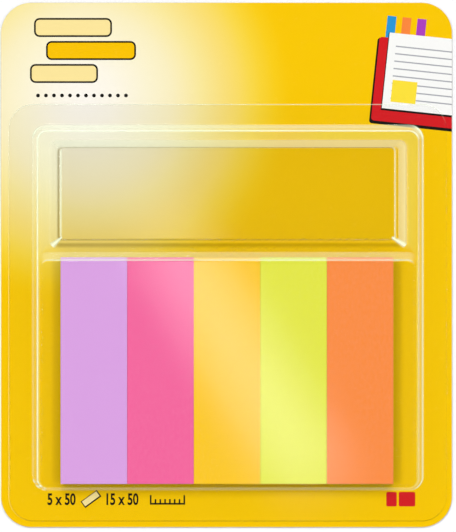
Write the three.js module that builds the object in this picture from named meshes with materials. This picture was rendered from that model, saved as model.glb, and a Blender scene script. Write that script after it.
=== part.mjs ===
// A carded pack of sticky index tabs: a printed backing card, a clear thermoformed
// blister sealed to its front, and five pads of coloured paper markers under the film.
//
// Millimetres, +Z up. The pack lies on its back: the card's back face is on z = 0, the
// origin is the middle of that face, +Y points to the top of the card and +X to its right.

import * as THREE from "three";

// ---------------------------------------------------------------- driving dimensions
const CARD = { w: 101.2, h: 117.7, t: 0.45, r: 6.85 };

const FILM = 0.25; // thickness of the blister's film
const SEAT_Z = CARD.t; // the film's sealing flange lies on the card
const FLANGE_Z = SEAT_Z + FILM; // upper face of the flange
const LEDGE_Z = 4.6; // raised frame round the upper recess and the lower chamber
const CHAMBER_Z = 6.2; // top of the chamber that covers the pads
const RECESS_Z = 0.95; // upper face of the recess floor, which almost reaches the card

const PAD = { w: 14.81, h: 50.56, t: 4.5, gap: 0.04 };
const PAD_LEFT = -37.0; // left edge of the first pad
const PAD_TOP = 1.7; // upper edge of the pads

// Rounded rectangles: left, right, bottom, top and corner radius.
const FLANGE_EDGE = { l: -48.88, r: 49.4, b: -57.55, t: 36.1, c: 5.6 };
const WALL_FOOT = { l: -43.55, r: 44.15, b: -50.56, t: 31.5, c: 3.4 };
const WALL_TOP = { l: -42.3, r: 42.9, b: -49.96, t: 29.95, c: 2.3 };
const CHAMBER_FOOT = { l: -41.82, r: 42.42, b: -49.48, t: 2.88, c: 1.9 };
const CHAMBER_TOP = { l: -41.3, r: 41.9, b: -49.15, t: 0.98, c: 1.5 };
const RECESS_RIM = { l: -39.5, r: 40.4, b: 3.71, t: 27.94, c: 1.7 };
const RECESS_FOOT = { l: -37.5, r: 37.6, b: 5.7, t: 26.3, c: 1.0 };

// Bend radii of the film, measured on its upper side.
const BEND = {
  wallFoot: 0.3,
  wallTop: 0.4,
  chamberFoot: 0.15,
  chamberTop: 0.45,
  recessRim: 0.7,
  recessFoot: 0.3,
};

const CORNER_STEPS = 6; // segments in each corner of a film outline
const BEND_STEPS = 3; // segments in each bend of the film
const CARD_STEPS = 12; // segments in each corner of the card

// ---------------------------------------------------------------- outlines
const mix = (a, b, w) => a + (b - a) * w;

// The outline between a and b at share w, drawn in by e on every side.
function between(a, b, w, e) {
  return {
    l: mix(a.l, b.l, w) + e,
    r: mix(a.r, b.r, w) - e,
    b: mix(a.b, b.b, w) + e,
    t: mix(a.t, b.t, w) - e,
    c: Math.max(mix(a.c, b.c, w) - e, 0.2),
  };
}

// Points of a rounded rectangle, anticlockwise from the right side's lower end.
function outline(q, z, steps = CORNER_STEPS) {
  const points = [];
  const centres = [
    [q.r - q.c, q.t - q.c, 0],
    [q.l + q.c, q.t - q.c, 90],
    [q.l + q.c, q.b + q.c, 180],
    [q.r - q.c, q.b + q.c, 270],
  ];
  for (const [x, y, from] of centres)
    for (let i = 0; i <= steps; i++) {
      const a = THREE.MathUtils.degToRad(from + (90 * i) / steps);
      points.push(
        new THREE.Vector3(x + q.c * Math.cos(a), y + q.c * Math.sin(a), z),
      );
    }
  return points;
}

// The loops of a drafted wall that runs inwards from outline a at za to outline b at zb,
// with a bend of radius ra where it leaves the flat round a, and rb where it meets the
// flat inside b.
function wall(a, b, za, zb, ra, rb) {
  const run = (b.l - a.l + a.r - b.r + b.b - a.b + a.t - b.t) / 4;
  const rise = zb - za;
  const up = Math.sign(rise);
  const slope = Math.atan2(Math.abs(rise), run);
  const ta = ra * Math.tan(slope / 2);
  const tb = rb * Math.tan(slope / 2);
  const loops = [];
  const add = (inwards, z) => {
    const w = THREE.MathUtils.clamp((z - za) / rise, 0, 1);
    loops.push(outline(between(a, b, w, inwards - w * run), z));
  };
  for (let i = 0; i <= BEND_STEPS; i++) {
    const f = (slope * i) / BEND_STEPS;
    add(-ta + ra * Math.sin(f), za + up * ra * (1 - Math.cos(f)));
  }
  for (let i = BEND_STEPS; i >= 0; i--) {
    const f = (slope * i) / BEND_STEPS;
    add(run + tb - rb * Math.sin(f), zb - up * rb * (1 - Math.cos(f)));
  }
  return loops;
}

// ---------------------------------------------------------------- the blister
// The film's upper side is one sheet of nested loops: the flange, the outer wall, the
// raised frame with two outlines in it, the recess that goes down and the chamber that
// goes up. The under side is the same sheet moved by the film's thickness along its
// normals, and the two are joined round the flange's edge.
function blister() {
  const points = [];
  const normals = [];
  const faces = [];
  const UP = new THREE.Vector3(0, 0, 1);

  const addLoops = (loops) => {
    const n = loops[0].length;
    const first = points.length;
    loops.forEach((loop, i) =>
      loop.forEach((p, j) => {
        points.push(p);
        if (i === 0 || i === loops.length - 1) {
          normals.push(UP.clone());
          return;
        }
        const along = new THREE.Vector3().subVectors(
          loop[(j + 1) % n],
          loop[(j + n - 1) % n],
        );
        const across = new THREE.Vector3().subVectors(
          loops[i + 1][j],
          loops[i - 1][j],
        );
        normals.push(along.cross(across).normalize());
      }),
    );
    for (let i = 0; i + 1 < loops.length; i++)
      for (let j = 0; j < n; j++) {
        const a = first + i * n + j;
        const b = first + i * n + ((j + 1) % n);
        faces.push([a, b, b + n], [a, b + n, a + n]);
      }
    const ids = (i) => Array.from({ length: n }, (_, j) => first + i * n + j);
    return { outer: ids(0), inner: ids(loops.length - 1) };
  };
  const flat = (ids, holes = []) => {
    const all = [...ids, ...holes.flat()];
    const xy = (list) =>
      list.map((k) => new THREE.Vector2(points[k].x, points[k].y));
    for (const [a, b, c] of THREE.ShapeUtils.triangulateShape(
      xy(ids),
      holes.map(xy),
    )) {
      const [p, q, r] = [points[all[a]], points[all[b]], points[all[c]]];
      const turn = (q.x - p.x) * (r.y - p.y) - (q.y - p.y) * (r.x - p.x);
      faces.push(
        turn > 0 ? [all[a], all[b], all[c]] : [all[a], all[c], all[b]],
      );
    }
  };

  const side = addLoops([
    outline(FLANGE_EDGE, FLANGE_Z),
    ...wall(
      WALL_FOOT,
      WALL_TOP,
      FLANGE_Z,
      LEDGE_Z,
      BEND.wallFoot,
      BEND.wallTop,
    ),
  ]);
  const recess = addLoops(
    wall(
      RECESS_RIM,
      RECESS_FOOT,
      LEDGE_Z,
      RECESS_Z,
      BEND.recessRim,
      BEND.recessFoot,
    ),
  );
  const chamber = addLoops(
    wall(
      CHAMBER_FOOT,
      CHAMBER_TOP,
      LEDGE_Z,
      CHAMBER_Z,
      BEND.chamberFoot,
      BEND.chamberTop,
    ),
  );
  flat(side.inner, [recess.outer, chamber.outer]);
  flat(recess.inner);
  flat(chamber.inner);

  const count = points.length;
  const under = points.map((p, i) =>
    p.clone().addScaledVector(normals[i], -FILM),
  );
  const index = [];
  for (const [a, b, c] of faces)
    index.push(a, b, c, count + a, count + c, count + b);
  const rim = side.outer;
  rim.forEach((a, j) => {
    const b = rim[(j + 1) % rim.length];
    index.push(a, count + a, count + b, a, count + b, b);
  });
  const geometry = new THREE.BufferGeometry();
  geometry.setAttribute(
    "position",
    new THREE.Float32BufferAttribute(
      [...points, ...under].flatMap((p) => p.toArray()),
      3,
    ),
  );
  geometry.setIndex(index);
  geometry.computeVertexNormals();
  return geometry;
}

// ---------------------------------------------------------------- the card
function card() {
  const q = {
    l: -CARD.w / 2,
    r: CARD.w / 2,
    b: -CARD.h / 2,
    t: CARD.h / 2,
    c: CARD.r,
  };
  const shape = new THREE.Shape(
    outline(q, 0, CARD_STEPS).map((p) => new THREE.Vector2(p.x, p.y)),
  );
  return new THREE.ExtrudeGeometry(shape, {
    depth: CARD.t,
    bevelEnabled: false,
  });
}

// ---------------------------------------------------------------- the pack
const pack = new THREE.Group();

const board = new THREE.Mesh(
  card(),
  new THREE.MeshStandardMaterial({
    color: "#fac801",
    roughness: 0.45,
    metalness: 0,
  }),
);
board.name = "backing_card";
pack.add(board);

const shell = new THREE.Mesh(
  blister(),
  new THREE.MeshStandardMaterial({
    color: "#f4f6f2",
    roughness: 0.06,
    metalness: 0,
    transparent: true,
    opacity: 0.2,
  }),
);
shell.name = "blister_shell";
pack.add(shell);

// Each pad is a block of fifty sheets.
const pads = new THREE.Group();
pads.position.set(PAD_LEFT, PAD_TOP - PAD.h / 2, SEAT_Z + PAD.t / 2);
pack.add(pads);
const COLOURS = [
  ["pad_lilac", "#dca1e5"],
  ["pad_pink", "#f6629d"],
  ["pad_amber", "#fec925"],
  ["pad_lime", "#e5e848"],
  ["pad_orange", "#fd8b45"],
];
COLOURS.forEach(([name, color], i) => {
  const pad = new THREE.Mesh(
    new THREE.BoxGeometry(PAD.w, PAD.h, PAD.t),
    new THREE.MeshStandardMaterial({ color, roughness: 0.85, metalness: 0 }),
  );
  pad.name = name;
  pad.position.x = PAD.w / 2 + i * (PAD.w + PAD.gap);
  pads.add(pad);
});

export default pack;
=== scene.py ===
"""Looks for a carded pack of sticky index tabs: a printed card, a clear formed film and
five pads of paper tabs, lying on its back and seen from straight above."""

import math
import random

import bpy
import numpy as np
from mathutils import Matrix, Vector
from mathutils.geometry import delaunay_2d_cdt


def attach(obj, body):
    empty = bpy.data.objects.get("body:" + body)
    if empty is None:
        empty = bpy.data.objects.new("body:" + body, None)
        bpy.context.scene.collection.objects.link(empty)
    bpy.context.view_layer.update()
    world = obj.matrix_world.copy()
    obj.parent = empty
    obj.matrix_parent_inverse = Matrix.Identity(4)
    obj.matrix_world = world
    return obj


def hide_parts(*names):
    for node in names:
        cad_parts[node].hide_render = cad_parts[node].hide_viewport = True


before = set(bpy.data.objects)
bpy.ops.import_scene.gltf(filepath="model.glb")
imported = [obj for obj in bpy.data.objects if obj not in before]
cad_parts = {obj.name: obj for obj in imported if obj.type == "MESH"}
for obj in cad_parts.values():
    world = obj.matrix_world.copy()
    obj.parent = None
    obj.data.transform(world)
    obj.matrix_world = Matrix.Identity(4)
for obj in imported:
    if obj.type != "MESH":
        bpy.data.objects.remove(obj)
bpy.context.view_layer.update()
MM = 0.001
SCENE = bpy.context.scene
rng = random.Random(7)

# ------------------------------------------------------------------ camera and picture
# The picture is 456 by 532 pixels. The camera stands 0.8 m over the table, and one
# millimetre of the card's front is 4.4575 pixels.
FRAME_W, FRAME_H = 456, 532
EYE = (0.325, -0.247, 800.0)
CARD_SCALE = 4.4575
CARD_MID = (226.55, 264.9)


def card_xy(px, py):
    """A pixel of the photograph's frame as millimetres on the card's front."""
    return ((px - CARD_MID[0]) / CARD_SCALE, (CARD_MID[1] - py) / CARD_SCALE)


cam_data = bpy.data.cameras.new("camera")
cam = bpy.data.objects.new("camera", cam_data)
SCENE.collection.objects.link(cam)
cam.location = [v * MM for v in EYE]
cam_data.sensor_width = 36
cam_data.lens = 36 * (EYE[2] - 0.45) / (FRAME_H / CARD_SCALE)
cam_data.clip_start, cam_data.clip_end = 0.05, 20
SCENE.camera = cam
SCENE.view_settings.view_transform = "Standard"
SCENE.view_settings.look = "None"
SCENE.cycles.max_bounces = 12
SCENE.cycles.diffuse_bounces = 0
SCENE.cycles.transparent_max_bounces = 24


# ------------------------------------------------------------------ small helpers
def linear(rgb):
    out = [
        v / 255 / 12.92 if v / 255 <= 0.04045 else ((v / 255 + 0.055) / 1.055) ** 2.4
        for v in rgb
    ]
    return (*out, 1.0)


class Nodes:
    """A node tree with short calls for adding and joining nodes."""

    def __init__(self, tree):
        self.tree = tree
        self.tree.nodes.clear()

    def add(self, kind, inputs=None, **settings):
        node = self.tree.nodes.new(kind)
        for key, value in settings.items():
            setattr(node, key, value)
        for key, value in (inputs or {}).items():
            socket = node.inputs[key]
            if isinstance(value, bpy.types.NodeSocket):
                self.tree.links.new(value, socket)
            else:
                socket.default_value = value
        return node

    def math(self, operation, a, b=0.0, c=0.0, clamp=False):
        node = self.add("ShaderNodeMath", operation=operation, use_clamp=clamp)
        for i, value in enumerate((a, b, c)):
            if isinstance(value, bpy.types.NodeSocket):
                self.tree.links.new(value, node.inputs[i])
            else:
                node.inputs[i].default_value = value
        return node.outputs[0]

    def remap(self, value, a, b, c=0.0, d=1.0, smooth=False):
        node = self.add(
            "ShaderNodeMapRange",
            {"Value": value, "From Min": a, "From Max": b, "To Min": c, "To Max": d},
            interpolation_type="SMOOTHSTEP" if smooth else "LINEAR",
        )
        return node.outputs["Result"]

    def mix_colour(self, fac, a, b, blend="MIX"):
        node = self.add("ShaderNodeMix", data_type="RGBA", blend_type=blend)
        for i, value in ((0, fac), (6, a), (7, b)):
            if isinstance(value, bpy.types.NodeSocket):
                self.tree.links.new(value, node.inputs[i])
            else:
                node.inputs[i].default_value = value
        return node.outputs[2]

    def noise(self, vector, scale, detail=3.0, rough=0.55):
        node = self.add(
            "ShaderNodeTexNoise",
            {
                "Vector": vector,
                "Scale": scale,
                "Detail": detail,
                "Roughness": rough,
            },
        )
        return node.outputs["Fac"]

    def out(self, socket, kind="ShaderNodeOutputMaterial"):
        self.add(kind, {"Surface": socket})


def material(name):
    m = bpy.data.materials.new(name)
    m.use_nodes = True
    return m, Nodes(m.node_tree)


def object_from(name, points, faces, materials, slots=None, smooth=False):
    """A mesh object from points in millimetres."""
    mesh = bpy.data.meshes.new(name)
    mesh.from_pydata([[v * MM for v in p] for p in points], [], faces)
    for m in materials:
        mesh.materials.append(m)
    if slots is not None:
        mesh.polygons.foreach_set("material_index", slots)
    mesh.polygons.foreach_set("use_smooth", [smooth] * len(mesh.polygons))
    mesh.update()
    obj = bpy.data.objects.new(name, mesh)
    SCENE.collection.objects.link(obj)
    return obj


def inside(point, ring):
    x, y = point
    hit = False
    for i in range(len(ring)):
        (x1, y1), (x2, y2) = ring[i - 1], ring[i]
        if (y1 > y) != (y2 > y) and x < (x2 - x1) * (y - y1) / (y2 - y1) + x1:
            hit = not hit
    return hit


# ------------------------------------------------------------------ the film
CARD_W, CARD_H, CARD_T, CARD_R = 101.2, 117.7, 0.45, 6.85
FILM = 0.25
FLANGE_Z, LEDGE_Z, CHAMBER_Z, RECESS_Z = 0.70, 4.6, 6.2, 0.95
SEAL_GAP = 0.01  # keeps the sealed faces apart for the renderer

# Rounded rectangles: left, right, bottom, top, corner radius.
FLANGE_EDGE = (-48.88, 49.4, -57.55, 36.1, 5.6)
WALL_FOOT = (-43.55, 44.15, -50.56, 31.5, 3.4)
WALL_TOP = (-42.3, 42.9, -49.96, 29.95, 2.3)
CHAMBER_FOOT = (-41.82, 42.42, -49.48, 2.88, 1.9)
CHAMBER_TOP = (-41.3, 41.9, -49.15, 0.98, 1.5)
RECESS_RIM = (-39.5, 40.4, 3.71, 27.94, 1.7)
RECESS_FOOT = (-37.5, 37.6, 5.7, 26.3, 1.0)

CORNER_STEPS = 14
BEND_STEPS = 8


def between(a, b, w, e):
    l, r, bo, t, c = (a[i] + (b[i] - a[i]) * w for i in range(5))
    return (l + e, r - e, bo + e, t - e, max(c - e, 0.2))


def outline(q, steps=CORNER_STEPS):
    l, r, b, t, c = q
    ring = []
    for x, y, start in (
        (r - c, t - c, 0),
        (l + c, t - c, 90),
        (l + c, b + c, 180),
        (r - c, b + c, 270),
    ):
        for i in range(steps + 1):
            a = math.radians(start + 90 * i / steps)
            ring.append((x + c * math.cos(a), y + c * math.sin(a)))
    return ring


def wall(a, b, za, zb, ra, rb, mids=()):
    """Loops of a drafted wall from outline a at za inwards to outline b at zb, each with
    its place on the wall: 0 to 1 from a to b, and millimetres beyond them outside that."""
    run = (b[0] - a[0] + a[1] - b[1] + b[2] - a[2] + a[3] - b[3]) / 4
    rise = zb - za
    up = 1 if rise > 0 else -1
    slope = math.atan2(abs(rise), run)
    ta, tb = ra * math.tan(slope / 2), rb * math.tan(slope / 2)
    loops = []

    def add(inwards, z):
        w = min(max((z - za) / rise, 0), 1)
        at = inwards if inwards < 0 else inwards / run
        if inwards > run:
            at = 1 + inwards - run
        ring = outline(between(a, b, w, inwards - w * run))
        loops.append(([(x, y, z) for x, y in ring], at))

    for i in range(BEND_STEPS + 1):
        f = slope * i / BEND_STEPS
        add(-ta + ra * math.sin(f), za + up * ra * (1 - math.cos(f)))
    first = loops[-1][1]
    last = (run + tb - rb * math.sin(slope)) / run
    for w in mids:
        if first + 0.02 < w < last - 0.02:
            add(w * run, za + w * rise)
    for i in range(BEND_STEPS, -1, -1):
        f = slope * i / BEND_STEPS
        add(run + tb - rb * math.sin(f), zb - up * rb * (1 - math.cos(f)))
    return loops


def inset(q, z, e):
    return [(x, y, z) for x, y in outline(between(q, q, 0, e))]


class Film:
    """The film as one closed mesh: an upper sheet of nested loops, the same sheet moved
    by the film's thickness for the under side, and the flange's edge."""

    def __init__(self):
        self.points, self.normals, self.faces = [], [], []
        self.gloss, self.bloom, self.shade, self.leaf = [], [], [], []

    def loops(self, rows, finish):
        n = len(rows[0][0])
        first = len(self.points)
        for i, (ring, at) in enumerate(rows):
            for j, p in enumerate(ring):
                if i in (0, len(rows) - 1):
                    normal = Vector((0, 0, 1))
                else:
                    along = Vector(ring[(j + 1) % n]) - Vector(ring[j - 1])
                    across = Vector(rows[i + 1][0][j]) - Vector(rows[i - 1][0][j])
                    normal = along.cross(across).normalized()
                self.points.append(Vector(p))
                self.normals.append(normal)
                # where the point is on its outline: 0 right, 90 top, 180 left, with
                # a corner's first point a hair past the last one's azimuth
                turn, step = divmod(j, CORNER_STEPS + 1)
                azimuth = 90 * (turn + step / CORNER_STEPS) + (0 if step else 0.001)
                gloss, bloom, shade, leaf = finish(at, azimuth)
                self.gloss.append(gloss)
                self.bloom.append(bloom)
                self.shade.append(shade)
                self.leaf.append(leaf)
        for i in range(len(rows) - 1):
            for j in range(n):
                a, b = first + i * n + j, first + i * n + (j + 1) % n
                self.faces.append((a, b, b + n, a + n))
        return (
            list(range(first, first + n)),
            list(range(first + (len(rows) - 1) * n, first + len(rows) * n)),
        )

    def flat(self, outer, *holes):
        ids = [*outer, *(i for h in holes for i in h)]
        at = {i: k for k, i in enumerate(ids)}
        edges = [
            (at[ring[k - 1]], at[ring[k]])
            for ring in (outer, *holes)
            for k in range(len(ring))
        ]
        xy = [self.points[i].xy for i in ids]
        _, _, tris, origin, _, _ = delaunay_2d_cdt(xy, edges, [], 0, 1e-7)
        rings = [[tuple(self.points[i].xy) for i in ring] for ring in (outer, *holes)]
        for tri in tris:
            face = [ids[origin[v][0]] for v in tri]
            mid = sum((self.points[i].xy for i in face), Vector((0, 0))) / 3
            if not inside(mid, rings[0]) or any(inside(mid, r) for r in rings[1:]):
                continue
            a, b, c = (self.points[i] for i in face)
            if (b - a).xy.cross((c - a).xy) < 0:
                face.reverse()
            self.faces.append(tuple(face))

    def build(self, name, mat):
        n = len(self.points)
        under = [p - nrm * FILM for p, nrm in zip(self.points, self.normals)]
        for p in under:
            p.z = max(p.z, CARD_T + SEAL_GAP)
        points = [*self.points, *under]
        # the upper side is shaded a little softer than its bends are
        soft = [(v + Vector((0, 0, 1.2))).normalized() for v in self.normals]
        normals = [*soft, *(-v for v in self.normals)]
        faces = [*self.faces, *(tuple(n + i for i in reversed(f)) for f in self.faces)]
        rim_from = len(faces)
        rim = self.rim
        for k in range(len(rim)):
            a, b = rim[k - 1], rim[k]
            faces.append((b, a, n + a, n + b))
        obj = object_from(name, points, faces, [mat], smooth=True)
        mesh = obj.data
        for attr, values in (
            ("gloss", [*self.gloss, *self.gloss]),
            ("bloom", [*self.bloom, *[0.0] * n]),
            ("shade", [*self.shade, *self.shade]),
            ("leaf", [*self.leaf, *self.leaf]),
        ):
            mesh.attributes.new(attr, "FLOAT", "POINT").data.foreach_set(
                "value", values
            )
        corner = []
        for poly in mesh.polygons:
            for v in poly.vertices:
                corner.append(
                    poly.normal.copy() if poly.index >= rim_from else normals[v]
                )
        mesh.normals_split_custom_set(corner)
        return obj


def peak(value, at, half):
    return max(1 - abs(value - at) / half, 0)


def profile(stops, at):
    """Values between the stops of a side's profile, each stop a place and its values."""
    if at <= stops[0][0]:
        return stops[0][1:]
    for low, high in zip(stops, stops[1:]):
        if at <= high[0]:
            f = (at - low[0]) / (high[0] - low[0])
            return [a + (b - a) * f for a, b in zip(low[1:], high[1:])]
    return stops[-1][1:]


def finish_from(sides, extra=None, fade=None):
    """A finish from one profile for each side, whose stops hold a place, haze and painted highlight,
    painted shade, gloss and leaf; extra adds painted highlight from the place and the azimuth, and fade
    scales the painted shade by them."""

    def finish(at, azimuth):
        x, y = math.cos(math.radians(azimuth)), math.sin(math.radians(azimuth))
        share = (max(-x, 0) ** 2, max(x, 0) ** 2, max(-y, 0) ** 2, max(y, 0) ** 2)
        values = [0.0, 0.0, 0.0, 0.0]
        for part, stops in zip(share, sides):
            for k, v in enumerate(profile(stops, at)):
                values[k] += part * v
        bloom, shade, gloss, leaf = values
        if extra:
            bloom += extra(at, azimuth)
        if fade:
            shade *= fade(at, azimuth)
        return gloss, min(bloom, 0.92), shade, leaf

    return finish


# The film's looks at each place of a wall: a pale milky share, partly the real haze of film stretched in
# forming and partly painted highlight standing in for the light its bends, edges and corners catch; a dark
# share, painted shade for the dark lines along its folds and the dark band on the recess's lower wall,
# with a slight even darkening of the flange and recess floor; how glossy it is and how much of the raised
# frame's faint leaf tint it has. Places are as wall gives them; sides are left, right, bottom and top in
# the picture.
FLANGE_SHADE = 0.004
# place, haze and painted highlight, painted shade, gloss, leaf
LIP_SIDES = (
    (
        (0.00, 0.22, 0.0, 0.3, 0),
        (0.06, 0.22, 0.0, 0.3, 0),
        (0.12, 0.0, 0.03, 0.25, 0),
        (0.27, 0.0, 0.03, 0.25, 0),
        (0.40, 0.0, FLANGE_SHADE, 0.25, 0),
    ),
    (
        (0.00, 0.0, 0.02, 0.25, 0),
        (0.12, 0.0, 0.02, 0.25, 0),
        (0.20, 0.0, FLANGE_SHADE, 0.25, 0),
    ),
    (
        (0.00, 0.0, 0.20, 0.2, 0),
        (0.06, 0.0, 0.18, 0.2, 0),
        (0.12, 0.0, FLANGE_SHADE, 0.25, 0),
    ),
    (
        (0.00, 0.05, 0.0, 0.3, 0),
        (0.03, 0.36, 0.0, 0.3, 0),
        (0.20, 0.34, 0.0, 0.3, 0),
        (0.27, 0.0, FLANGE_SHADE, 0.25, 0),
    ),
)
FRAME_SIDES = (
    (
        (-0.26, 0.0, FLANGE_SHADE, 0.25, 0),
        (-0.20, 0.0, FLANGE_SHADE, 0.02, 0),
        (0.02, 0.0, FLANGE_SHADE, 0.02, 0),
        (0.16, 0.15, 0, 0.02, 0),
        (0.32, 0.18, 0, 0.03, 0),
        (0.50, 0.03, 0, 0.1, 0),
        (0.74, 0.04, 0, 0.1, 0),
        (0.88, 0.22, 0, 0.1, 0),
        (1.00, 0.48, 0, 0.15, 0),
        (1.13, 0.66, 0, 0.15, 0),
        (1.25, 0.42, 0, 0.1, 0.2),
        (1.33, 0.14, 0, 0.1, 0.3),
    ),
    (
        (-0.26, 0.0, FLANGE_SHADE, 0.25, 0),
        (-0.20, 0.0, FLANGE_SHADE, 0.02, 0),
        (-0.12, 0.0, FLANGE_SHADE, 0.02, 0),
        (-0.02, 0.26, 0, 0.02, 0),
        (0.14, 0.76, 0, 0.05, 0),
        (0.27, 0.66, 0, 0.1, 0),
        (0.38, 0.20, 0, 0.1, 0),
        (0.48, 0.06, 0, 0.1, 0),
        (0.74, 0.10, 0, 0.1, 0),
        (0.88, 0.27, 0, 0.1, 0),
        (1.07, 0.26, 0, 0.1, 0),
        (1.24, 0.15, 0, 0.1, 0.3),
        (1.33, 0.08, 0, 0.1, 0.3),
    ),
    (
        (-0.26, 0.0, FLANGE_SHADE, 0.25, 0),
        (-0.20, 0.0, FLANGE_SHADE, 0.02, 0),
        (-0.15, 0.0, FLANGE_SHADE, 0.02, 0),
        (0.02, 0.06, 0, 0.05, 0),
        (0.2, 0.18, 0, 0.2, 0),
        (0.9, 0.18, 0, 0.2, 0),
        (1.15, 0.14, 0, 0.2, 0),
        (1.33, 0.03, 0.0, 0.1, 0.3),
    ),
    (
        (-0.26, 0.0, FLANGE_SHADE, 0.25, 0),
        (-0.20, 0.0, FLANGE_SHADE, 0.02, 0),
        (-0.04, 0.0, FLANGE_SHADE, 0.02, 0),
        (0.06, 0.26, 0, 0.02, 0),
        (0.15, 0.33, 0, 0.05, 0),
        (0.40, 0.34, 0, 0.1, 0),
        (0.58, 0.37, 0, 0.1, 0),
        (0.70, 0.20, 0, 0.1, 0),
        (0.84, 0.26, 0, 0.1, 0),
        (0.95, 0.60, 0, 0.15, 0),
        (1.05, 0.76, 0, 0.15, 0),
        (1.16, 0.42, 0, 0.1, 0.3),
        (1.26, 0.12, 0, 0.1, 0.3),
        (1.33, 0.085, 0, 0.05, 0.3),
    ),
)
RECESS_SIDES = (
    (
        (-0.44, 0.11, 0, 0.05, 0.3),
        (-0.1, 0.15, 0, 0.03, 0.2),
        (0.1, 0.18, 0, 0.03, 0),
        (0.40, 0.18, 0.02, 0.2, 0),
        (0.48, 0.16, 0.04, 0.2, 0),
        (0.60, 0.20, 0.02, 0.2, 0),
        (0.74, 0.20, 0.0, 0.2, 0),
        (0.81, 0.14, 0.04, 0.2, 0),
        (0.88, 0.02, 0.30, 0.1, 0),
        (0.97, 0.02, 0.42, 0.1, 0),
        (1.05, 0.05, 0.24, 0.1, 0),
        (1.12, 0.20, 0.05, 0.1, 0),
        (1.20, 0.54, 0, 0.03, 0),
        (1.36, 0.54, 0, 0.03, 0),
        (1.50, 0.34, 0.0, 0.1, 0),
        (1.62, 0.0, 0.056, 0.3, 0),
    ),
    (
        (-0.44, 0.085, 0, 0.05, 0.3),
        (-0.15, 0.10, 0, 0.02, 0.2),
        (0.0, 0.16, 0, 0.02, 0),
        (0.08, 0.27, 0, 0.02, 0),
        (0.16, 0.38, 0, 0.05, 0),
        (0.24, 0.43, 0, 0.1, 0),
        (0.32, 0.36, 0, 0.1, 0),
        (0.50, 0.32, 0, 0.1, 0),
        (0.64, 0.31, 0, 0.1, 0),
        (0.70, 0.14, 0.0, 0.1, 0),
        (0.745, 0.0, 0.08, 0.1, 0),
        (0.80, 0.0, 0.12, 0.1, 0),
        (0.85, 0.04, 0.03, 0.1, 0),
        (0.89, 0.34, 0, 0.05, 0),
        (0.93, 0.54, 0, 0.05, 0),
        (0.99, 0.46, 0, 0.05, 0),
        (1.03, 0.08, 0.03, 0.05, 0),
        (1.09, 0.0, 0.08, 0.1, 0),
        (1.20, 0.0, 0.056, 0.3, 0),
    ),
    (
        (-0.44, 0.0, 0.0, 0.02, 0),
        (0.02, 0.0, 0.0, 0.02, 0),
        (0.12, 0.0, 0.07, 0.02, 0),
        (0.24, 0.0, 0.21, 0.02, 0),
        (0.38, 0.0, 0.34, 0.0, 0),
        (0.50, 0.0, 0.34, 0.0, 0),
        (0.60, 0.0, 0.24, 0.0, 0),
        (0.70, 0.0, 0.09, 0.1, 0),
        (0.80, 0.02, 0.01, 0.1, 0),
        (0.92, 0.0, 0.03, 0.1, 0),
        (1.0, 0.0, 0.40, 0.1, 0),
        (1.07, 0.0, 0.40, 0.1, 0),
        (1.15, 0.0, 0.056, 0.3, 0),
    ),
    (
        (-0.44, 0.085, 0, 0.05, 0.3),
        (-0.08, 0.10, 0, 0.02, 0.2),
        (0.02, 0.20, 0, 0.02, 0),
        (0.10, 0.38, 0, 0.05, 0),
        (0.80, 0.39, 0, 0.05, 0),
        (0.95, 0.37, 0.0, 0.05, 0),
        (1.0, 0.04, 0.36, 0.1, 0),
        (1.06, 0.04, 0.36, 0.1, 0),
        (1.15, 0.06, 0.05, 0.3, 0),
        (1.30, 0.0, 0.056, 0.3, 0),
    ),
)
CHAMBER_SIDES = (
    (
        (-0.08, 0.12, 0, 0.1, 0.3),
        (0.1, 0.07, 0, 0.05, 0),
        (0.4, 0.02, 0, 0.05, 0),
        (0.8, 0.0, 0, 0.05, 0),
        (1.15, 0.0, 0, 0.1, 0),
        (1.3, 0.0, 0, 0.45, 0),
    ),
    (
        (-0.08, 0.06, 0, 0.1, 0.3),
        (0.05, 0.05, 0, 0.1, 0),
        (0.2, 0.0, 0, 0.05, 0),
        (0.8, 0.0, 0, 0.05, 0),
        (1.15, 0.0, 0, 0.1, 0),
        (1.3, 0.0, 0, 0.45, 0),
    ),
    (
        (-0.08, 0.0, 0.02, 0.1, 0),
        (0.1, 0.0, 0.05, 0.1, 0),
        (0.8, 0.0, 0.06, 0.1, 0),
        (1.18, 0.0, 0.03, 0.3, 0),
        (1.3, 0.0, 0, 0.45, 0),
    ),
    (
        (-0.08, 0.0, 0, 0.05, 0),
        (0.03, 0.13, 0, 0.02, 0),
        (0.12, 0.19, 0, 0.02, 0),
        (0.66, 0.18, 0, 0.02, 0),
        (0.74, 0.22, 0, 0.02, 0),
        (0.80, 0.26, 0, 0.02, 0),
        (0.90, 0.27, 0, 0.02, 0),
        (0.97, 0.50, 0, 0.02, 0),
        (1.05, 0.56, 0, 0.02, 0),
        (1.11, 0.22, 0, 0.1, 0),
        (1.17, 0.0, 0, 0.3, 0),
        (1.30, 0.0, 0, 0.45, 0),
    ),
)


def fade_lip(at, azimuth):
    """No painted dark line, only a little painted shade, along the upper part of the flange's left edge.
    """
    return 0.2 if at < 0.3 and 90 < azimuth <= 180 else 1.0


def fade_right(at, azimuth):
    """Less shade towards the right end of the recess's lower wall."""
    if not 0 < at < 1.12 or azimuth <= 180 or azimuth >= 360:
        return 1.0
    return 0.62 if azimuth > 270 else 0.97


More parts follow.
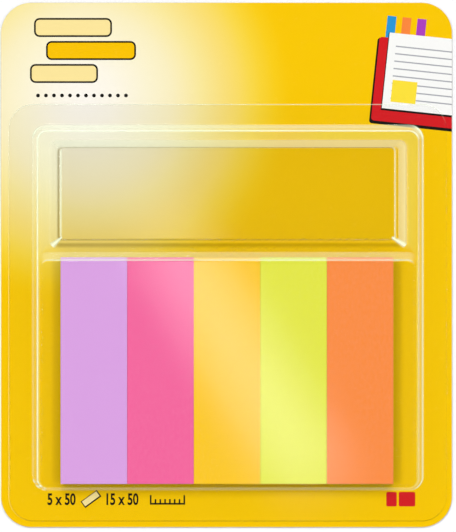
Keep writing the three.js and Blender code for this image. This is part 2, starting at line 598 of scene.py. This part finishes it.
def frame_painted_glints(at, azimuth):
    """Painted glints: bright arcs of painted highlight at the raised frame's corners, and a row of painted
    bright beads at one of them.
    """
    foot, top = peak(at, 0.03, 0.24), peak(at, 1.05, 0.2)
    body = 1.0 if 0 < at < 1 else 0.0
    gleam = 0.9 * peak(azimuth, 150, 36) * (foot + 0.4 * top)
    gleam += peak(azimuth, 36, 42) * (0.65 * foot + 0.35 * top + 0.35 * body)
    gleam += 0.60 * peak(azimuth, 315, 44) * foot
    beads = 0.5 + 0.5 * math.sin(math.radians(azimuth * 13))
    gleam += 1.3 * beads * peak(azimuth, 228, 44) * (foot + top + 0.5 * body)
    return gleam


def recess_painted_glints(at, azimuth):
    """Painted white glints at the recess's lower corners, standing in for the lights' reflections there.
    """
    if not 0 < at < 1.3:
        return 0.0
    left = 0.9 * peak(azimuth, 225, 20 + 12 * (1 - min(at, 1)))
    right = 0.9 * peak(azimuth, 318, 26)
    return left + right


lip_finish = finish_from(LIP_SIDES, fade=fade_lip)
frame_finish = finish_from(FRAME_SIDES, frame_painted_glints)
recess_finish = finish_from(RECESS_SIDES, recess_painted_glints, fade_right)
chamber_finish = finish_from(CHAMBER_SIDES)


def edge_finish(at, azimuth):
    if at >= 10:  # the rows of the flange's lip
        return lip_finish(at - 10, azimuth)
    return frame_finish(at, azimuth)


VEIL = card_xy(90, 150)
GLOW = card_xy(85, 97)


def film_material():
    m, n = material("clear_film")
    coord = n.add("ShaderNodeTexCoord").outputs["Object"]
    z = n.add("ShaderNodeSeparateXYZ", {0: coord}).outputs["Z"]
    sealed = n.math("LESS_THAN", z, (CARD_T + SEAL_GAP * 1.5) * MM)

    def attribute(name):
        return n.add("ShaderNodeAttribute", attribute_name=name).outputs["Fac"]

    face = n.add("ShaderNodeLayerWeight", {"Blend": 0.5}).outputs["Facing"]
    fresnel = n.math("MULTIPLY_ADD", n.math("POWER", face, 5.0), 0.96, 0.04)
    gloss = n.math("MULTIPLY", fresnel, attribute("gloss"))
    gloss = n.math("MULTIPLY", gloss, n.math("SUBTRACT", 1.0, sealed), clamp=True)
    # most of the light that the film scatters still goes on to what lies under it
    lamp = n.add("ShaderNodeLightPath").outputs["Is Shadow Ray"]
    stopped = n.math("MULTIPLY_ADD", lamp, -0.85, 1.0)
    gloss = n.math("MULTIPLY", gloss, stopped)
    tint = n.mix_colour(attribute("leaf"), (0.999, 1, 0.999, 1), (0.978, 0.998, 0.985, 1))
    # the flange is tinted a little darker and greyer near the upper left, where it lies over the card's
    # pale glow
    away = n.add(
        "ShaderNodeVectorMath",
        {0: coord, 1: (VEIL[0] * MM, VEIL[1] * MM, FLANGE_Z * MM)},
        operation="DISTANCE",
    ).outputs["Value"]
    veil = n.remap(away, 0.0, 58 * MM, 0.042, 0.0)
    veil = n.math("MULTIPLY", veil, n.math("LESS_THAN", z, (FLANGE_Z + 0.1) * MM))
    tint = n.mix_colour(veil, tint, (0.6, 0.6, 0.6, 1))
    # painted shade: the shade attribute darkens the film towards dark olive, standing in for shade at its
    # folds and on the recess's lower wall, with a slight even darkening of the flange and recess floor
    painted_shade_mix = n.math("MULTIPLY", attribute("shade"), n.math("MULTIPLY_ADD", stopped, 0.8, 0.2))
    tint = n.mix_colour(painted_shade_mix, tint, (0.30, 0.26, 0.12, 1))
    clear = n.add("ShaderNodeBsdfTransparent", {"Color": tint}).outputs[0]
    # painted light: away from the pale glow the painted highlight on the raised frame's face turns yellow
    # and grows stronger, standing in for the card's yellow light reflected in the film
    away = n.add(
        "ShaderNodeVectorMath",
        {0: coord, 1: (GLOW[0] * MM, GLOW[1] * MM, LEDGE_Z * MM)},
        operation="DISTANCE",
    ).outputs["Value"]
    painted_bounce_yellow = n.math("MULTIPLY", n.remap(away, 38 * MM, 54 * MM, 0.0, 1.0), attribute("leaf"))
    painted_bounce_yellow = n.math("MULTIPLY", painted_bounce_yellow, n.remap(attribute("bloom"), 0.11, 0.22, 3.3, 0.0), clamp=True)
    # painted highlight: the bloom attribute mixes in a pale diffuse, partly real haze of the stretched
    # film and partly painted highlight lines and glints along its bends, edges and corners
    haze_and_highlight_colour = n.mix_colour(painted_bounce_yellow, (0.90, 1.0, 0.74, 1), (0.80, 0.97, 0.26, 1))
    haze_and_highlight_bsdf = n.add("ShaderNodeBsdfDiffuse", {"Color": haze_and_highlight_colour}).outputs[0]
    specks = n.remap(n.noise(coord, 700.0, 2.0), 0.3, 0.7, 0.98, 1.02)
    bloom = n.math("MULTIPLY_ADD", attribute("bloom"), specks, 0.001)
    bloom = n.math("MULTIPLY", bloom, n.math("SUBTRACT", 1.0, sealed), clamp=True)
    bloom = n.math("MULTIPLY", bloom, n.math("MULTIPLY_ADD", painted_bounce_yellow, 1.2, 1.0))
    bloom = n.math("MULTIPLY", bloom, stopped)
    body = n.add("ShaderNodeMixShader", {0: bloom, 1: clear, 2: haze_and_highlight_bsdf}).outputs[0]
    # gentle unevenness left by the forming
    rough = n.remap(n.noise(coord, 60.0, 1.0), 0.3, 0.7, 0.030, 0.045)
    shine = n.add(
        "ShaderNodeBsdfGlossy", {"Color": (1, 1, 1, 1), "Roughness": rough}
    ).outputs[0]
    n.out(n.add("ShaderNodeMixShader", {0: gloss, 1: body, 2: shine}).outputs[0])
    return m


film = Film()
side = film.loops(
    [
        *(
            (inset(FLANGE_EDGE, FLANGE_Z - drop, e), 10 + e)
            for e, drop in (
                (0.0, 0.05),
                (0.03, 0.01),
                (0.06, 0.0),
                (0.12, 0.0),
                (0.16, 0.0),
                (0.20, 0.0),
                (0.27, 0.0),
                (0.40, 0.0),
            )
        ),
        *wall(
            WALL_FOOT,
            WALL_TOP,
            FLANGE_Z,
            LEDGE_Z,
            0.35,
            0.45,
            (0.3, 0.36, 0.42, 0.48, 0.56, 0.64, 0.72, 0.8),
        ),
    ],
    edge_finish,
)
recess = film.loops(
    [
        *wall(
            RECESS_RIM,
            RECESS_FOOT,
            LEDGE_Z,
            RECESS_Z,
            0.7,
            0.35,
            (0.12, 0.18, 0.24, 0.3, 0.38, 0.44, 0.5, 0.55, 0.6, 0.66, 0.69, 0.72, 0.745, 0.77, 0.8, 0.83, 0.85, 0.87, 0.89),
        ),
        *((inset(RECESS_FOOT, RECESS_Z, e), 1 + e) for e in (0.26, 0.34, 0.44, 0.5, 0.56, 0.7)),
    ],
    recess_finish,
)
chamber = film.loops(
    wall(CHAMBER_FOOT, CHAMBER_TOP, LEDGE_Z, CHAMBER_Z, 0.15, 0.5, (0.3, 0.5, 0.66, 0.76)),
    chamber_finish,
)
film.flat(side[1], recess[0], chamber[0])
film.flat(recess[1])
film.flat(chamber[1])
film.rim = side[0]
shell = film.build("clear_film_shell", film_material())
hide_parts("blister_shell")
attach(shell, "root")

# ------------------------------------------------------------------ the card


def board_bump(n, coord, scale, distance, strength=0.3):
    height = n.math(
        "ADD", n.noise(coord, scale, 4.0), n.math("MULTIPLY", n.noise(coord, scale * 7), 0.4)
    )
    return n.add(
        "ShaderNodeBump",
        {"Strength": strength, "Distance": distance, "Height": height},
    ).outputs["Normal"]


CARD_SHARE = 0.905  # the card's colours in full light, as a share of the picture's


def lit(rgb, share=CARD_SHARE):
    return tuple(v * share for v in linear(rgb)[:3]) + (1.0,)


def printed(name, rgb):
    """An ink on the coated board, with a little mottle and the board's own grain."""
    m, n = material(name)
    coord = n.add("ShaderNodeTexCoord").outputs["Object"]
    mottle = n.remap(n.noise(coord, 1400.0, 2.0), 0.3, 0.7, 0.0, 0.05)
    colour = n.mix_colour(mottle, lit(rgb), lit(rgb, CARD_SHARE * 0.9))
    rough = n.remap(n.noise(coord, 500.0), 0.3, 0.7, 0.20, 0.28)
    bsdf = n.add(
        "ShaderNodeBsdfPrincipled",
        {
            "Base Color": colour,
            "Roughness": rough,
            "Specular IOR Level": 0.1,
            "Normal": board_bump(n, coord, 900.0, 0.000008),
        },
    )
    n.out(bsdf.outputs[0])
    return m


def glow_print():
    """The card's ground: a pale glow in the upper left that fades out into deep yellow."""
    m, n = material("print_ground")
    coord = n.add("ShaderNodeTexCoord").outputs["Object"]
    flat = n.add("ShaderNodeVectorMath", {0: coord, 1: (1, 1, 0)}, operation="MULTIPLY")
    away = n.add(
        "ShaderNodeVectorMath",
        {0: flat.outputs[0], 1: (GLOW[0] * MM, GLOW[1] * MM, 0)},
        operation="DISTANCE",
    ).outputs["Value"]
    reach = 210 / CARD_SCALE * MM
    share = n.math("DIVIDE", away, reach, clamp=True)
    ramp = n.add("ShaderNodeValToRGB", {"Fac": share})
    stops = [
        (0.0, (254, 249, 240)),
        (30 / 210, (254, 248, 231)),
        (65 / 210, (252, 244, 209)),
        (87 / 210, (251, 240, 194)),
        (100 / 210, (251, 237, 178)),
        (115 / 210, (250, 233, 156)),
        (138 / 210, (250, 224, 124)),
        (165 / 210, (250, 217, 76)),
        (176 / 210, (250, 212, 52)),
        (190 / 210, (250, 206, 24)),
        (203 / 210, (250, 201, 3)),
        (1.0, (250, 200, 0)),
    ]
    band = ramp.color_ramp
    band.interpolation = "LINEAR"
    while len(band.elements) < len(stops):
        band.elements.new(0.5)
    for element, (at, rgb) in zip(band.elements, stops):
        element.position = at
        element.color = lit(rgb)
    mottle = n.remap(n.noise(coord, 1400.0, 2.0), 0.3, 0.7, 0.0, 0.05)
    colour = n.mix_colour(mottle, ramp.outputs[0], (0.93, 0.93, 0.93, 1), "MULTIPLY")
    rough = n.remap(n.noise(coord, 500.0), 0.3, 0.7, 0.20, 0.28)
    bsdf = n.add(
        "ShaderNodeBsdfPrincipled",
        {
            "Base Color": colour,
            "Roughness": rough,
            "Specular IOR Level": 0.1,
            "Normal": board_bump(n, coord, 900.0, 0.000008),
        },
    )
    n.out(bsdf.outputs[0])
    return m


def bare_board(name, rgb, dark):
    """Uncoated board: short grey and brown fibres in a pale ground."""
    m, n = material(name)
    coord = n.add("ShaderNodeTexCoord").outputs["Object"]
    stretched = n.add(
        "ShaderNodeVectorMath", {0: coord, 1: (1.0, 0.35, 1.0)}, operation="MULTIPLY"
    ).outputs[0]
    fibre = n.remap(n.noise(stretched, 1500.0, 5.0, 0.7), 0.42, 0.7, 0.0, 0.8)
    cloud = n.remap(n.noise(coord, 120.0, 3.0), 0.3, 0.7, 0.0, 0.35)
    colour = n.mix_colour(fibre, linear(rgb), linear(dark))
    colour = n.mix_colour(cloud, colour, linear([v * 0.95 for v in rgb]))
    bsdf = n.add(
        "ShaderNodeBsdfPrincipled",
        {
            "Base Color": colour,
            "Roughness": 0.9,
            "Specular IOR Level": 0.2,
            "Normal": board_bump(n, stretched, 1300.0, 0.00002, 0.5),
        },
    )
    n.out(bsdf.outputs[0])
    return m


def ring_px(points):
    return [card_xy(*p) for p in points]


def turned(cx, cy, w, h, degrees, r=0.0):
    """A rectangle in pixels, with round corners if r is set, turned clockwise."""
    a = math.radians(degrees)
    if r:
        local = outline((-w / 2, w / 2, -h / 2, h / 2, r), 5)
    else:
        local = [(w / 2, h / 2), (-w / 2, h / 2), (-w / 2, -h / 2), (w / 2, -h / 2)]
    return ring_px(
        [
            (cx + x * math.cos(a) - y * math.sin(a), cy + x * math.sin(a) + y * math.cos(a))
            for x, y in local
        ]
    )


def disc(cx, cy, r, steps=20):
    return ring_px(
        [
            (
                cx + r * math.cos(2 * math.pi * i / steps),
                cy + r * math.sin(2 * math.pi * i / steps),
            )
            for i in range(steps)
        ]
    )


INKS = {
    "ink_black": (22, 20, 18),
    "ink_white": (250, 250, 247),
    "ink_grey": (168, 170, 176),
    "ink_red": (214, 30, 36),
    "ink_cream": (252, 230, 156),
    "ink_amber": (250, 196, 0),
    "ink_blue": (42, 150, 214),
    "ink_pink": (240, 88, 150),
    "ink_orange": (250, 136, 62),
    "ink_violet": (172, 66, 190),
    "ink_note": (253, 226, 60),
}
shapes = []  # (ink, rings in millimetres), the last on top; even-odd inside a shape


def draw(ink, *rings):
    shapes.append((ink, [list(r) for r in rings]))


# Upper left: three staggered tabs with dark outlines, and a dotted rule under them.
for x0, x1, y0, ink in ((34, 112, 18, "ink_cream"), (46, 136, 41, "ink_amber"), (30, 98, 64, "ink_cream")):
    cx, cy, w = (x0 + x1) / 2, y0 + 9.5, x1 - x0
    draw("ink_black", turned(cx, cy, w, 19, 0, 5.5))
    draw(ink, turned(cx, cy, w - 3.6, 15.4, 0, 3.8))
for i in range(12):
    draw("ink_black", disc(38 + 8 * i, 95.5, 1.9))

# Upper right: a ruled sheet in a folder that runs off the card, with small flags on top.
for x, ink in ((391, "ink_blue"), (406, "ink_orange"), (421, "ink_violet")):
    draw(ink, turned(x, 27 + (x - 391) * 0.1, 9, 22, 6))
draw("ink_black", turned(428, 86, 110, 86, 6, 3))
draw("ink_red", turned(429, 84, 108, 84, 6, 3))
draw("ink_black", turned(430.5, 76, 92, 78, 6))
draw("ink_white", turned(431, 75, 91, 76, 6))
for i in range(8):
    y = 50 + 7.4 * i
    draw("ink_grey", turned(431 - (y - 75) * 0.105, y + 0.2, 76, 1.3, 6))
draw("ink_note", turned(404, 92, 25, 22, 6))

# Lower left: plain numerals and a small tab.
def numerals(text, px, py, height, squeeze=0.70, bold=0.028):
    """Upright numerals from Blender's own font, as rings, with the left end of their
    base line at px, py. Returns the pixel where they end."""
    curve = bpy.data.curves.new("numerals", "FONT")
    curve.body = text
    curve.offset = bold
    curve.resolution_u = 4
    obj = bpy.data.objects.new("numerals", curve)
    SCENE.collection.objects.link(obj)
    bpy.context.view_layer.update()
    mesh = bpy.data.meshes.new_from_object(
        obj.evaluated_get(bpy.context.evaluated_depsgraph_get())
    )
    bpy.data.objects.remove(obj)
    uses = {}
    for poly in mesh.polygons:
        for a, b in poly.edge_keys:
            uses[(a, b)] = uses.get((a, b), 0) + 1
    links = {}
    for (a, b), count in uses.items():
        if count == 1:
            links.setdefault(a, []).append(b)
            links.setdefault(b, []).append(a)
    co = [v.co.copy() for v in mesh.vertices]
    scale = height / 0.73
    rings, seen = [], set()
    for start in sorted(links):
        if start in seen:
            continue
        ring, at, before = [], start, None
        while at not in seen:
            seen.add(at)
            ring.append(at)
            step = [v for v in links[at] if v != before]
            before, at = at, step[0]
        rings.append(
            ring_px(
                [
                    (px + co[v].x * scale * squeeze, py - co[v].y * scale)
                    for v in ring
                ]
            )
        )
    right = max(c.x for c in co) * scale * squeeze
    bpy.data.meshes.remove(mesh)
    draw("ink_black", *rings)
    return px + right


numerals("5 x 50", 47.2, 504.6, 11.6)
draw("ink_black", turned(91, 499.0, 20, 8.0, -36))
draw("ink_cream", turned(90.7, 498.8, 17.8, 5.8, -36))
numerals("15 x 50", 104.5, 504.6, 11.6)
# and a short rule with ticks beside them
draw("ink_black", turned(167.5, 503.8, 35, 1.7, 0))
for i in range(8):
    tall = 9.5 if i in (0, 7) else 5.5
    draw("ink_black", turned(150.7 + 4.8 * i, 504.6 - tall / 2, 1.6, tall, 0))

# Lower right: two plain red blocks.
draw("ink_red", turned(391.5, 499.2, 10.5, 14.5, 0, 1.6))
draw("ink_red", turned(407, 499.2, 16.5, 14.5, 0, 1.6))


def card():
    edge = 0.05
    card_ring = outline(
        (-CARD_W / 2 + edge, CARD_W / 2 - edge, -CARD_H / 2 + edge, CARD_H / 2 - edge, CARD_R - edge),
        24,
    )
    points = [Vector(p) for p in card_ring]
    edges = [(k - 1 if k else len(points) - 1, k) for k in range(len(points))]
    for _, rings in shapes:
        for ring in rings:
            first = len(points)
            points += [Vector(p) for p in ring]
            edges += [
                (first + (k - 1 if k else len(ring) - 1), first + k)
                for k in range(len(ring))
            ]
    xy, _, tris, _, _, _ = delaunay_2d_cdt(points, edges, [], 0, 1e-6)
    mats = [glow_print(), bare_board("board_edge", (232, 226, 212), (170, 160, 145))]
    mats.append(bare_board("board_back", (226, 222, 212), (176, 168, 154)))
    index = {}
    for ink, rgb in INKS.items():
        index[ink] = len(mats)
        mats.append(printed(ink, rgb))
    boxes = [
        (
            min(p[0] for r in rings for p in r),
            max(p[0] for r in rings for p in r),
            min(p[1] for r in rings for p in r),
            max(p[1] for r in rings for p in r),
        )
        for _, rings in shapes
    ]
    faces, slots = [], []
    for tri in tris:
        a, b, c = (xy[v] for v in tri)
        if abs((b - a).cross(c - a)) < 1e-9:
            continue
        mid = (a + b + c) / 3
        if not inside(mid, card_ring):
            continue
        slot = 0
        for (ink, rings), (x0, x1, y0, y1) in zip(shapes, boxes):
            if x0 <= mid.x <= x1 and y0 <= mid.y <= y1:
                if sum(inside(mid, r) for r in rings) % 2:
                    slot = index[ink]
        face = list(tri)
        if (b - a).cross(c - a) < 0:
            face.reverse()
        faces.append(face)
        slots.append(slot)
    # the front's boundary, in order
    onward = {}
    directed = {(f[i - 1], f[i]) for f in faces for i in range(3)}
    for a, b in directed:
        if (b, a) not in directed:
            onward[a] = b
    start = min(onward)
    ring = [start]
    while onward[ring[-1]] != start:
        ring.append(onward[ring[-1]])
    used = sorted({v for f in faces for v in f})
    remap = {v: k for k, v in enumerate(used)}
    verts = [(xy[v].x, xy[v].y, CARD_T) for v in used]
    faces = [tuple(remap[v] for v in f) for f in faces]
    ring = [remap[v] for v in ring]

    def outward(x, y):
        qx = min(max(x, -CARD_W / 2 + CARD_R), CARD_W / 2 - CARD_R)
        qy = min(max(y, -CARD_H / 2 + CARD_R), CARD_H / 2 - CARD_R)
        return Vector((x - qx, y - qy)).normalized()

    before = ring
    for drop, push in ((0.015, 0.035), (0.05, 0.05), (0.40, 0.05), (0.435, 0.035), (0.45, 0.0)):
        here = []
        for v in ring:
            x, y, _ = verts[v]
            d = outward(x, y) * push
            verts.append((x + d.x, y + d.y, CARD_T - drop))
            here.append(len(verts) - 1)
        for k in range(len(ring)):
            faces.append((before[k], before[k - 1], here[k - 1], here[k]))
            slots.append(1)
        before = here
    faces.append(tuple(reversed(before)))
    slots.append(2)
    return object_from("printed_card", verts, faces, mats, slots)


board = card()
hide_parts("backing_card")
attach(board, "root")

# ------------------------------------------------------------------ the pads
PAD_W, PAD_H, PAD_T, PAD_GAP = 14.81, 50.56, 4.5, 0.04
PAD_LEFT, PAD_TOP = -37.0, 1.7
SHEETS = 50
PADS = [
    ("lilac", (220, 161, 229)),
    ("pink", (246, 98, 157)),
    ("amber", (254, 200, 6)),
    ("lime", (229, 232, 62)),
    ("orange", (253, 139, 60)),
]


def paper(name, rgb):
    m, n = material(name)
    coord = n.add("ShaderNodeTexCoord").outputs["Object"]
    stretched = n.add(
        "ShaderNodeVectorMath", {0: coord, 1: (1.0, 0.5, 1.0)}, operation="MULTIPLY"
    ).outputs[0]
    fibre = n.remap(n.noise(stretched, 1800.0, 5.0, 0.65), 0.35, 0.75, 0.0, 0.10)
    base = lit(rgb, 0.93)
    pale = tuple(v + (1 - v) * 0.35 for v in base[:3]) + (1.0,)
    colour = n.mix_colour(fibre, base, pale)
    bsdf = n.add(
        "ShaderNodeBsdfPrincipled",
        {
            "Base Color": colour,
            "Roughness": 0.82,
            "Specular IOR Level": 0.2,
            "Sheen Weight": 0.05,
            "Normal": board_bump(n, stretched, 1600.0, 0.000008),
        },
    )
    n.out(bsdf.outputs[0])
    return m


def pad(name, x0, mat):
    """A block of sheets with slightly uneven edges, as one closed mesh."""
    pitch = (PAD_T - 0.01) / SHEETS
    verts, faces = [], []
    before = None
    for i in range(SHEETS):
        z0 = CARD_T + 0.005 + i * pitch
        top = i == SHEETS - 1
        jitter = [0.0 if top else rng.uniform(0.0, 0.03) for _ in range(2)]
        ends = [0.0 if top else rng.uniform(0.0, 0.09) for _ in range(2)]
        for inset, z in ((0.022, z0), (0.0, z0 + 0.02), (0.0, z0 + pitch - 0.012), (0.022, z0 + pitch)):
            if top and z > z0 + pitch / 2:
                inset *= 0.3
            l = x0 + jitter[0] + inset
            r = x0 + PAD_W - jitter[1] - inset
            b = PAD_TOP - PAD_H + ends[0] + inset
            t = PAD_TOP - ends[1] - inset
            here = len(verts)
            verts += [(r, t, z), (l, t, z), (l, b, z), (r, b, z)]
            if before is None:
                faces.append((here + 3, here + 2, here + 1, here))
            else:
                for k in range(4):
                    j = (k + 1) % 4
                    faces.append((before + k, before + j, here + j, here + k))
            before = here
    faces.append((before, before + 1, before + 2, before + 3))
    return object_from(name, verts, faces, [mat])


for k, (tone, rgb) in enumerate(PADS):
    block = pad(f"tabs_{tone}", PAD_LEFT + k * (PAD_W + PAD_GAP), paper(f"paper_{tone}", rgb))
    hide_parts(f"pad_{tone}")
    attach(block, "root")

# ------------------------------------------------------------------ table, light
def table():
    m, n = material("table_white")
    coord = n.add("ShaderNodeTexCoord").outputs["Object"]
    bsdf = n.add(
        "ShaderNodeBsdfPrincipled",
        {
            "Base Color": (0.93, 0.93, 0.93, 1),
            "Roughness": 0.8,
            "Specular IOR Level": 0.1,
            "Normal": board_bump(n, coord, 200.0, 0.00001),
        },
    )
    n.out(bsdf.outputs[0])
    half = 4000.0
    floor = object_from(
        "table",
        [(-half, -half, -0.02), (half, -half, -0.02), (half, half, -0.02), (-half, half, -0.02)],
        [(0, 1, 2, 3)],
        [m],
    )


table()


def sun(name, azimuth, tilt, width, power):
    """A soft round light far away: azimuth from +X, tilt from straight above."""
    data = bpy.data.lights.new(name, "SUN")
    data.energy = power
    data.angle = math.radians(width)
    obj = bpy.data.objects.new(name, data)
    a, t = math.radians(azimuth), math.radians(tilt)
    way = Vector((math.sin(t) * math.cos(a), math.sin(t) * math.sin(a), math.cos(t)))
    obj.rotation_mode = "QUATERNION"
    obj.rotation_quaternion = way.to_track_quat("Z", "Y")
    SCENE.collection.objects.link(obj)


# name, azimuth, tilt, width, share of the light that falls on the table
LIGHTS = [
    ("light_upper_right", 48, 27, 15, 0.17),
    ("light_upper_left", 132, 27, 15, 0.19),
    ("light_right", 0, 27, 14, 0.16),
    ("light_left", 180, 27, 14, 0.20),
    ("light_top", 90, 33, 14, 0.23),
    ("light_bottom", 270, 30, 16, 0.05),
]
LIGHT_TOTAL = 2.98
for name, azimuth, tilt, width, share in LIGHTS:
    sun(name, azimuth, tilt, width, LIGHT_TOTAL * share / math.cos(math.radians(tilt)))


def surroundings():
    """A dim room with one narrow soft panel over the pack, set at a slant, whose
    reflection crosses the film over the pads. The camera sees plain white."""
    world = bpy.data.worlds.new("room")
    SCENE.world = world
    world.use_nodes = True
    n = Nodes(world.node_tree)
    way = n.add("ShaderNodeTexCoord").outputs["Generated"]
    part = n.add("ShaderNodeSeparateXYZ", {0: way})
    x, y, z = (part.outputs[i] for i in range(3))
    high = n.math("MAXIMUM", z, 0.05)
    u, v = n.math("DIVIDE", x, high), n.math("DIVIDE", y, high)
    au = n.math("ADD", u, 0.0121)
    across = n.math("ADD", n.math("MULTIPLY", au, 0.8527), n.math("MULTIPLY", v, 0.5223))
    along = n.math(
        "SUBTRACT", n.math("MULTIPLY", au, 0.5223), n.math("MULTIPLY", v, 0.8527)
    )
    band = n.remap(n.math("ABSOLUTE", across), 0.0195, 0.0, smooth=True)
    start = n.remap(along, -0.035, 0.0, smooth=True)
    stop = n.remap(along, 0.085, 0.06, smooth=True)
    up = n.math("GREATER_THAN", z, 0.9)
    panel = n.math("MULTIPLY", n.math("MULTIPLY", band, start), n.math("MULTIPLY", stop, up))
    low = n.remap(z, 0.75, 0.0, 0.03, 0.9, smooth=True)
    light = n.math("MULTIPLY_ADD", panel, 4.4, low)
    room = n.add("ShaderNodeBackground", {"Color": (1, 1, 1, 1), "Strength": light})
    plain = n.add("ShaderNodeBackground", {"Color": (0.97, 0.97, 0.97, 1), "Strength": 1.0})
    seen = n.add("ShaderNodeLightPath").outputs["Is Camera Ray"]
    n.out(
        n.add(
            "ShaderNodeMixShader",
            {0: seen, 1: room.outputs[0], 2: plain.outputs[0]},
        ).outputs[0],
        "ShaderNodeOutputWorld",
    )


surroundings()
